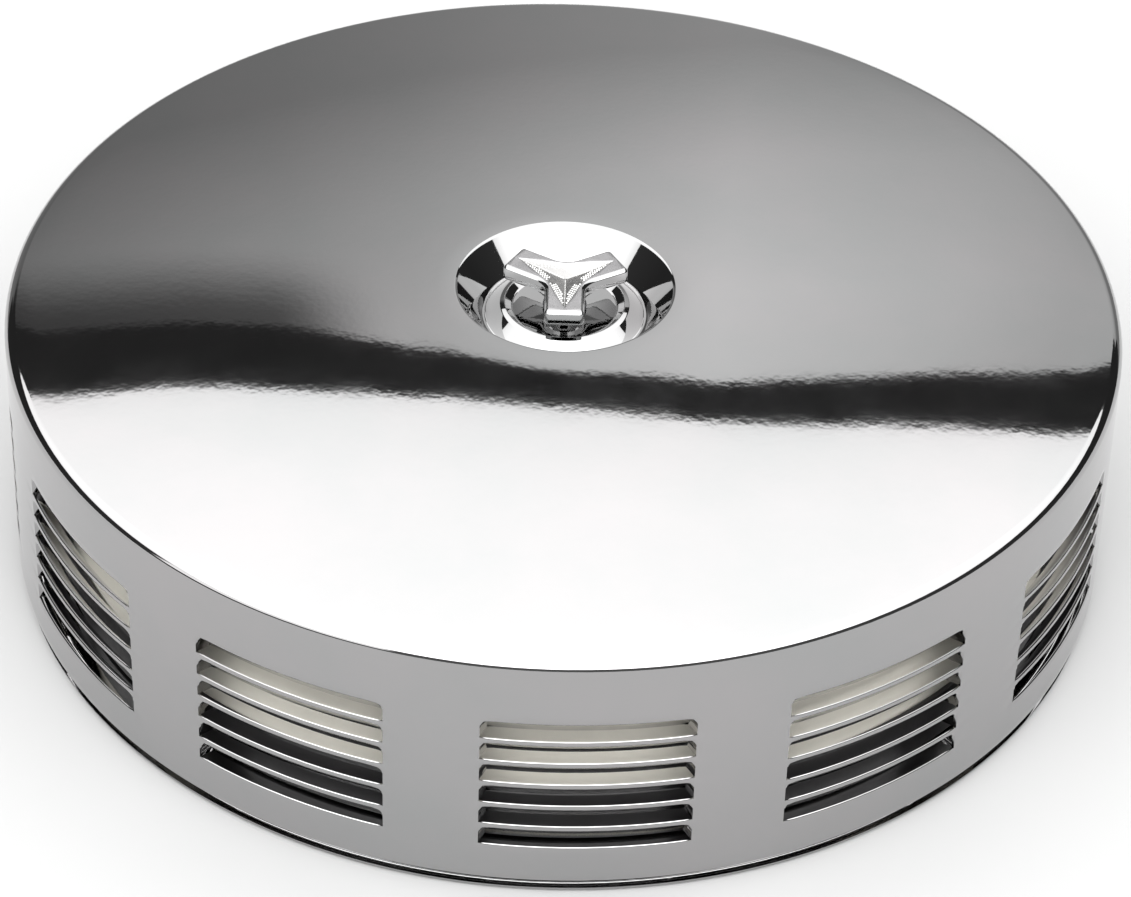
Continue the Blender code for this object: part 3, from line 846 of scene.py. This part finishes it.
def nut_outline():
    """The whole plan outline, with one arm towards -Y."""
    outline = []
    for arm in range(3):
        turn = Matrix.Rotation(math.radians(120.0 * arm - 90.0), 2)
        outline.extend((turn @ point, turn @ normal) for point, normal in nut_arm_outline())
    return outline


def recess_radius(turn, tip, waist):
    """Radius of the three-pointed recess on a ray, where its points lie along the arms."""
    away = abs(math.remainder(turn + math.pi / 2.0, 2.0 * math.pi / 3.0))
    point = Vector((tip, 0.0))
    inner = Vector((math.cos(math.pi / 3.0), math.sin(math.pi / 3.0))) * waist
    edge = inner - point
    ray = Vector((math.cos(away), math.sin(away)))
    return (point.x * edge.y - point.y * edge.x) / (ray.x * edge.y - ray.y * edge.x)


def recess_z(point):
    """Level of the recess's floor, which falls from its edge to the nut's axis in flat facets."""
    away = Vector((point.x, point.y))
    share = away.length / recess_radius(math.atan2(away.y, away.x), NUT_STAR_TIP, NUT_STAR_WAIST)
    return nut_high.z - NUT_STAR_DEPTH + (NUT_STAR_DEPTH - NUT_STAR_EDGE) * share


def make_nut():
    """The three-bar nut: bevelled arms, a three-pointed stippled recess, and a hub with its bore."""
    outline = nut_outline()
    top = nut_high.z
    arm_foot = top - NUT_ARM_THICKNESS
    hub_foot = nut_low.z
    bore = NUT_BORE_RADIUS
    points = []
    rings = []

    def add_ring(place):
        ring = []
        for point, normal in outline:
            ring.append(len(points))
            points.append(place(point, normal))
        rings.append(ring)

    def inset(amount, z):
        add_ring(lambda point, normal: (*(point - normal * amount), z))

    def star(scale, z, tip=NUT_STAR_TIP, waist=NUT_STAR_WAIST):
        def place(point, normal):
            turn = math.atan2(point.y, point.x)
            radius = recess_radius(turn, tip, waist) * scale
            return radius * math.cos(turn), radius * math.sin(turn), z
        add_ring(place)

    def round_ring(radius, z):
        add_ring(lambda point, normal: (*(point.normalized() * radius), z))

    for scale in (0.01, 0.25, 0.5, 0.75, 0.97):
        star(scale, top - NUT_STAR_DEPTH + (NUT_STAR_DEPTH - NUT_STAR_EDGE) * scale)
    floor_rings = len(rings)
    star(1.0, top - 0.10 * MM)
    star(1.02, top - 0.02 * MM)
    land_start = len(rings)
    edge = NUT_EDGE
    for step in range(1, 6):
        share = step / 6.0

        def between(point, normal, share=share):
            turn = math.atan2(point.y, point.x)
            inner_radius = recess_radius(turn, NUT_STAR_TIP, NUT_STAR_WAIST) * 1.02
            inner_point = Vector((math.cos(turn), math.sin(turn))) * inner_radius
            return (*inner_point.lerp(point - normal * (edge + 0.15 * MM), share), top)
        add_ring(between)
    inset(edge + 0.15 * MM, top)
    land_end = len(rings)
    inset(edge - 0.05 * MM, top - 0.10 * MM)
    inset(edge * 0.55, top - edge * 0.45)
    inset(0.12 * MM, top - edge + 0.05 * MM)
    inset(0.04 * MM, top - edge - 0.12 * MM)
    inset(0.0, arm_foot + 1.2 * MM)
    inset(0.30 * MM, arm_foot + 0.4 * MM)
    inset(1.10 * MM, arm_foot)

    def underside(share, z):
        def place(point, normal):
            start = point - normal * 1.1 * MM
            end = point.normalized() * min(NUT_HUB_RADIUS, start.length)
            return (*start.lerp(end, share), z)
        add_ring(place)

    underside(0.5, arm_foot - 0.1 * MM)
    underside(1.0, arm_foot - 0.5 * MM)
    hub = [
        (NUT_HUB_RADIUS - 0.7 * MM, arm_foot - 1.3 * MM),
        (NUT_HUB_RADIUS - 0.8 * MM, hub_foot + 1.6 * MM),
        (NUT_HUB_RADIUS - 0.2 * MM, hub_foot + 0.7 * MM),
        (NUT_HUB_RADIUS - 0.2 * MM, hub_foot + 0.15 * MM),
        (NUT_HUB_RADIUS - 0.4 * MM, hub_foot),
        (bore + 0.2 * MM, hub_foot),
        (bore, hub_foot + 0.2 * MM),
        (bore, top - 2.7 * MM),
        (0.05 * MM, top - 2.7 * MM),
    ]
    for radius, z in hub:
        round_ring(radius, z)

    faces = ring_faces(zip(rings, rings[1:]))
    faces.append(rings[0][::-1])
    faces.append(rings[-1])
    around = len(outline)
    nut = mesh_object("three_bar_nut", points, faces, NUT_CHROME, 50.0)
    nut.data.materials.append(NUT_SATIN)
    nut.data.materials.append(NUT_FROST)
    for polygon in nut.data.polygons[(land_start - 1) * around:(land_end - 1) * around]:
        polygon.material_index = 1
    for polygon in nut.data.polygons[:(floor_rings - 1) * around]:
        polygon.material_index = 2
    join(nut, nut_stipple() + nut_ridges())
    return nut


def nut_stipple():
    """Rows of small round grains along the recess's edges."""
    grains = []
    slope = math.radians(22.0)
    for arm in range(3):
        turn = Matrix.Rotation(math.radians(120.0 * arm - 90.0), 3, "Z")
        for side in (-1.0, 1.0):
            for row in range(3):
                for step in range(12):
                    along = (4.2 + 1.0 * step + 0.5 * (row % 2)) * MM
                    across = (NUT_STAR_TIP - along) * math.tan(slope) - (0.62 + 0.85 * row) * MM
                    if across < 0.55 * MM:
                        continue
                    place = turn @ Vector((along, side * across, 0.0))
                    place.z = recess_z(place) - 0.05 * MM
                    grains.append(place)
    grain = bmesh.new()
    for place in grains:
        bmesh.ops.create_icosphere(grain, subdivisions=2, radius=0.33 * MM, matrix=Matrix.Translation(place))
    mesh = bpy.data.meshes.new("stipple")
    grain.to_mesh(mesh)
    grain.free()
    mesh.materials.append(NUT_GRAIN)
    made = bpy.data.objects.new("stipple", mesh)
    bpy.context.collection.objects.link(made)
    return [made]


def nut_ridges():
    """A thin tapering ridge along the middle of each arm of the recess."""
    ridges = []
    for arm in range(3):
        turn = Matrix.Rotation(math.radians(120.0 * arm - 90.0), 3, "Z")
        points = []
        sections = ((0.5, 0.16, 0.20), (5.0, 0.20, 0.32), (11.0, 0.17, 0.28), (16.0, 0.05, 0.05))
        for along, half, height in sections:
            foot = recess_z(turn @ Vector((along * MM, 0.0, 0.0)))
            for across, z in ((-half, -0.1), (-0.3 * half, height), (0.3 * half, height), (half, -0.1)):
                points.append(turn @ Vector((along * MM, across * MM, foot + z * MM)))
        rings = [list(range(4 * index, 4 * index + 4)) for index in range(len(sections))]
        faces = ring_faces(zip(rings, rings[1:])) + [rings[0], rings[-1][::-1]]
        ridges.append(mesh_object("ridge", points, faces, NUT_GRAIN, 30.0))
    return ridges


def make_insert():
    """The threaded brass insert in the nut's hub, with a chamfered mouth."""
    low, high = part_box("wing_nut_insert")
    outer = high.x
    inner = STUD_RADIUS + 0.4 * MM
    section = rounded_ring(inner, outer, low.z, high.z, 0.4 * MM)
    return turned_object("brass_insert", section, BRASS, 48)


def make_sealing_washer():
    """The soft washer under the hub, bulged a little at its rim."""
    low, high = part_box("sealing_washer")
    section = rounded_ring(STUD_RADIUS + 0.6 * MM, high.x, low.z, high.z, 0.6 * MM)
    return turned_object("soft_washer", section, WASHER_RUBBER, 64)


# ---- The pieces, each on its body -----------------------------------------------------------

def place(piece, body, slot, *nodes):
    """Rides a piece on a body in place of its CAD nodes."""
    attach(piece, body)
    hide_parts(*nodes)


place(make_cover(), "cover", "chrome", "top_cover")
place(make_base(), "base", "chrome", "base_plate")
place(make_gasket(), "base", "rubber", "carb_gasket")
place(make_bridge(), "base", "zinc", "stud_bridge")
for rivet in ("bridge_rivet_left", "bridge_rivet_right"):
    rivet_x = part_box(rivet)[0].x + RIVET_RADIUS
    place(make_rivet(rivet, rivet_x), "base", "zinc", rivet)
place(make_stud(), "base", "zinc", "center_stud")
place(make_lock_washer(), "base", "zinc", "bridge_lock_washer")
place(make_hex_nut("bridge_lock_nut"), "base", "zinc", "bridge_lock_nut")
place(make_hex_nut("bridge_lower_nut"), "base", "zinc", "bridge_lower_nut")
place(make_seal("filter_bottom_seal", False), "filter", "seal", "filter_bottom_seal")
place(make_seal("filter_top_seal", True), "filter", "seal", "filter_top_seal")
place(make_pleats(), "filter", "paper", "filter_media")
place(make_screen(), "filter", "zinc", "filter_inner_screen")
place(make_wrap(), "filter", "wrap", "filter_outer_wrap")
place(make_sealing_washer(), "washer", "rubber", "sealing_washer")
place(make_nut(), "nut", "chrome", "wing_nut")
place(make_insert(), "nut", "brass", "wing_nut_insert")


# ---- Floor, light and camera ----------------------------------------------------------------

def make_floor():
    """A plain pale floor that reaches past every view."""
    finish, _, shader = new_material("pale_floor", (0.375, 0.375, 0.375), 0.9, 0.0)
    shader.inputs["Specular IOR Level"].default_value = 0.0
    mesh = bpy.data.meshes.new("floor")
    size = 40.0
    mesh.from_pydata([(-size, -size, 0.0), (size, -size, 0.0), (size, size, 0.0), (-size, size, 0.0)],
                     [], [(0, 1, 2, 3)])
    mesh.materials.append(finish)
    floor = bpy.data.objects.new("floor", mesh)
    bpy.context.collection.objects.link(floor)
    floor.location.z = -0.02 * MM


def make_studio():
    """The light: a white ceiling, a dark gap round it, a grey wall behind and a dark room in front.

    A low bright card at the front left lights the dish and the nut.
    Everything is a function of direction: azimuth is 0 towards +Y and positive towards +X.
    """
    world = bpy.data.worlds.new("studio")
    world.use_nodes = True
    bpy.context.scene.world = world
    tree = world.node_tree
    nodes = tree.nodes
    links = tree.links

    def fill(socket, value):
        if isinstance(value, (int, float)):
            socket.default_value = value
        else:
            links.new(value, socket)

    def calc(operation, first, second=0.0, third=0.0):
        node = nodes.new("ShaderNodeMath")
        node.operation = operation
        for socket, value in zip(node.inputs, (first, second, third)):
            fill(socket, value)
        return node.outputs["Value"]

    def blend(low, high, share):
        """low where share is 0 and high where it is 1."""
        return calc("MULTIPLY_ADD", calc("SUBTRACT", high, low), share, low)

    def step(value, start, end):
        """0 below start, 1 above end, smooth between."""
        node = nodes.new("ShaderNodeMapRange")
        node.interpolation_type = "SMOOTHSTEP"
        for name, part in (("Value", value), ("From Min", start), ("From Max", end)):
            fill(node.inputs[name], part)
        return node.outputs["Result"]

    def curve(value, stops):
        """Straight lines between (value, result) stops.

        A ramp's colours stop at 1, so the results are held in it as hundredths.
        """
        low, high = stops[0][0], stops[-1][0]
        ramp = nodes.new("ShaderNodeValToRGB").color_ramp
        while len(ramp.elements) < len(stops):
            ramp.elements.new(1.0)
        for element, (place, result) in zip(ramp.elements, stops):
            element.position = (place - low) / (high - low)
            element.color = (result / 100.0,) * 3 + (1.0,)
        node = nodes[-1]
        links.new(calc("DIVIDE", calc("SUBTRACT", value, float(low)), float(high - low)), node.inputs["Fac"])
        return calc("MULTIPLY", node.outputs["Color"], 100.0)

    direction = nodes.new("ShaderNodeTexCoord").outputs["Generated"]
    parts = nodes.new("ShaderNodeSeparateXYZ")
    links.new(direction, parts.inputs["Vector"])
    x, y, z = (parts.outputs[name] for name in "XYZ")
    height = calc("DEGREES", calc("ARCSINE", z))
    azimuth = calc("DEGREES", calc("ARCTAN2", x, y))
    aside = calc("ABSOLUTE", calc("SUBTRACT", azimuth, 0.7))

    ripple = nodes.new("ShaderNodeTexNoise")
    ripple.inputs["Scale"].default_value = 22.0
    ripple.inputs["Detail"].default_value = 1.0
    links.new(direction, ripple.inputs["Vector"])
    shift = calc("MULTIPLY", calc("SUBTRACT", ripple.outputs["Fac"], 0.5), 0.35)

    edge = calc("ADD", shift, curve(azimuth, (
        (-180, 22.0), (-135, 24.0), (-90, 28.0), (-45, 33.0), (-14, 38.75), (-10, 39.15),
        (-7.5, 39.6), (-4.7, 40.0), (0, 40.5), (4, 40.6), (5.3, 40.5), (8, 40.1), (11, 39.6),
        (13.5, 39.0), (45, 33.0), (90, 28.0), (135, 24.0), (180, 22.0))))
    gap = curve(azimuth, (
        (-180, 45.0), (-50, 35.0), (-30, 8.0), (-14, 2.4), (-7.3, 2.3), (-4.6, 1.8), (0, 1.45), (4, 1.35),
        (8, 1.65), (10.5, 2.0), (13.5, 2.2), (30, 8.0), (50, 35.0), (180, 45.0)))
    wall_top = calc("SUBTRACT", calc("SUBTRACT", edge, gap), calc("MULTIPLY", shift, 0.6))
    above = calc("SUBTRACT", height, edge)
    below = calc("SUBTRACT", wall_top, height)

    ceiling = curve(above, ((0, 1.62), (0.8, 1.76), (3, 1.92), (8, 2.10), (50, 2.25)))
    ceiling = calc("MULTIPLY", ceiling, blend(1.0, 2.0, step(aside, 95.0, 150.0)))
    dark = curve(aside, ((0, 0.028), (60, 0.03), (100, 0.05), (140, 0.12), (180, 0.15)))
    across = curve(azimuth, (
        (-40, 0.40), (-14, 0.46), (-10, 0.55), (-7, 0.62), (-4, 0.73), (0, 0.92), (4, 1.06),
        (7, 0.97), (10, 0.87), (13, 0.72), (40, 0.55)))
    tilted = calc("MULTIPLY_ADD", azimuth, 0.25, height)
    upward = curve(tilted, (
        (0, 0.60), (20, 0.45), (27, 0.45), (29, 0.58), (32, 0.79), (35, 0.92), (37, 1.0), (60, 1.0)))
    left_shade = blend(0.22, 1.0, step(below, 0.3, 3.0))
    shade = blend(left_shade, 1.0, step(azimuth, -8.0, -4.5))
    wall = calc("MULTIPLY", calc("MULTIPLY", across, upward), shade)

    room = blend(dark, wall, step(below, -0.12, 0.12))
    card_left = step(azimuth, -152.0, -148.0)
    card_right = step(azimuth, -104.0, -100.0)
    card_across = calc("MULTIPLY", card_left, calc("SUBTRACT", 1.0, card_right))
    card_bottom = step(height, 9.0, 11.0)
    card_top = step(height, 25.0, 26.0)
    card_upward = calc("MULTIPLY", card_bottom, calc("SUBTRACT", 1.0, card_top))
    room = blend(room, 1.7, calc("MULTIPLY", card_across, card_upward))
    light = blend(room, ceiling, step(above, -0.10, 0.10))
    light = blend(0.75, light, step(height, -1.5, 0.0))

    links.new(light, nodes["Background"].inputs["Color"])
    nodes["Background"].inputs["Strength"].default_value = 1.26


def make_camera():
    """A long lens above the front edge, rolled a little."""
    elevation = math.radians(38.23)
    roll = math.radians(1.77)
    distance = 1.40
    target = Vector((0.0017, -0.0127, 0.040))
    data = bpy.data.cameras.new("camera")
    data.sensor_width = 36.0
    data.lens = 137.558
    camera = bpy.data.objects.new("camera", data)
    bpy.context.collection.objects.link(camera)
    camera.location = target + Vector((0.0, -math.cos(elevation), math.sin(elevation))) * distance
    aim = (target - camera.location).to_track_quat("-Z", "Y").to_matrix()
    camera.rotation_euler = (aim @ Matrix.Rotation(roll, 3, "Z")).to_euler()
    bpy.context.scene.camera = camera


make_floor()
make_studio()
make_camera()
bpy.context.scene.view_settings.view_transform = "Standard"
